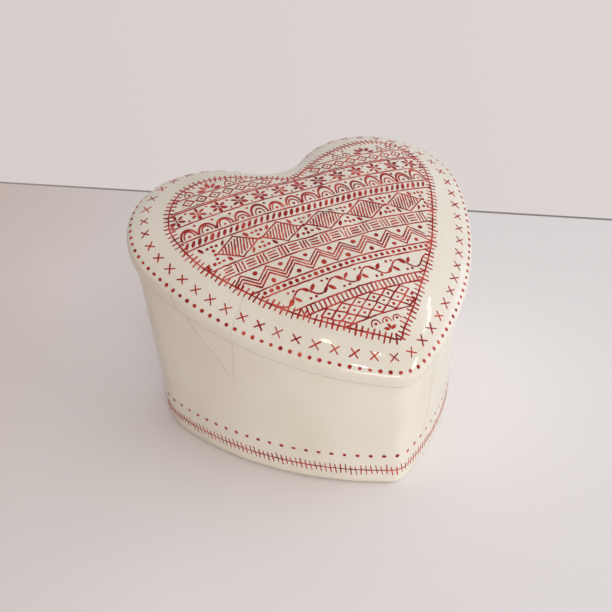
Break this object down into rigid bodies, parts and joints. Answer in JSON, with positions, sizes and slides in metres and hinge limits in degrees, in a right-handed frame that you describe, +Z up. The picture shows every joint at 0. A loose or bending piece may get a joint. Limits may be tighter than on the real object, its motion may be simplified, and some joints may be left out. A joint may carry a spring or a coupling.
{
  "type": "wind-up music box",
  "caption": "Heart-shaped glazed ceramic music box with a sloping lift-off lid, a clockwork comb movement under a clear cover and a winding key in its foot.",
  "frame": {"origin": "on the table plane under the middle of the overall bounding box", "axes": "+X to the right across the lobes, +Y towards the back where the cleft is (the tip points along -Y), +Z up"},
  "size_m": [0.12, 0.1016, 0.0818],
  "materials": {
    "glaze": "glossy cream glaze with deep red painted stitch ornament",
    "felt": "crimson felt",
    "zinc": "as-cast zinc alloy",
    "steel": "machined steel",
    "spring_steel": "tempered spring steel",
    "brass": "rolled and turned brass",
    "rubber": "moulded rubber",
    "nylon": "natural nylon",
    "lead": "soft lead",
    "clear_plastic": "clear moulded plastic"
  },
  "bodies": {
    "base": {"base_shell": "glaze", "felt_liner": "felt", "bedplate": "zinc", "mounting_screws": "steel", "mounting_washers": "rubber", "spring_housing": "brass", "mainspring": "spring_steel", "movement_screws": "steel", "bearing_bracket": "steel", "comb": "spring_steel", "bass_weights": "lead", "governor_frame": "brass", "endstone_cap": "steel", "lever_post": "brass", "lever_screw": "steel", "dust_cover": "clear_plastic"},
    "lid": {"lid_shell": "glaze"},
    "drive_wheel": {"great_wheel": "brass", "clutch_spring": "spring_steel"},
    "key": {"winding_arbor": "steel", "winding_key": "brass"},
    "cylinder": {"pinned_cylinder": "brass", "cylinder_shaft": "steel", "cylinder_pinion": "brass", "cylinder_wheel": "brass"},
    "governor": {"governor_pinion": "steel", "worm_wheel": "nylon", "governor_shaft": "steel"},
    "brake": {"worm_shaft": "steel", "fly": "nylon"},
    "lever": {"stop_lever": "steel"}
  },
  "joints": [
    {"name": "lid_lift", "type": "slide", "parent": "base", "child": "lid", "axis": [0, -0.3057, 0.9521], "range_m": [0, 0.06]},
    {"name": "cylinder_turn", "type": "hinge", "parent": "base", "child": "cylinder", "pos_m": [0.0068, 0.009, 0.029], "axis": [-1, 0, 0], "continuous": true},
    {"name": "great_wheel_turn", "type": "hinge", "parent": "base", "child": "drive_wheel", "pos_m": [-0.0145, 0.009, 0.024], "axis": [0, 0, 1], "continuous": true},
    {"name": "governor_turn", "type": "hinge", "parent": "base", "child": "governor", "pos_m": [0.018, 0.018, 0.029], "axis": [1, 0, 0], "continuous": true},
    {"name": "fly_turn", "type": "hinge", "parent": "base", "child": "brake", "pos_m": [0.0195, 0.0235, 0.03], "axis": [0, 0, 1], "continuous": true},
    {"name": "key_wind", "type": "hinge", "parent": "drive_wheel", "child": "key", "pos_m": [-0.0145, 0.009, 0.012], "axis": [0, 0, 1], "range_deg": [0, 2160]},
    {"name": "stop_lever_turn", "type": "hinge", "parent": "base", "child": "lever", "pos_m": [0.0228, 0.0145, 0.033], "axis": [0, 0, 1], "range_deg": [0, 10]}
  ],
  "couplings": [
    {"joint": "great_wheel_turn", "follows": "cylinder_turn", "ratio": -0.33333},
    {"joint": "governor_turn", "follows": "cylinder_turn", "ratio": 3},
    {"joint": "fly_turn", "follows": "cylinder_turn", "ratio": -60}
  ]
}
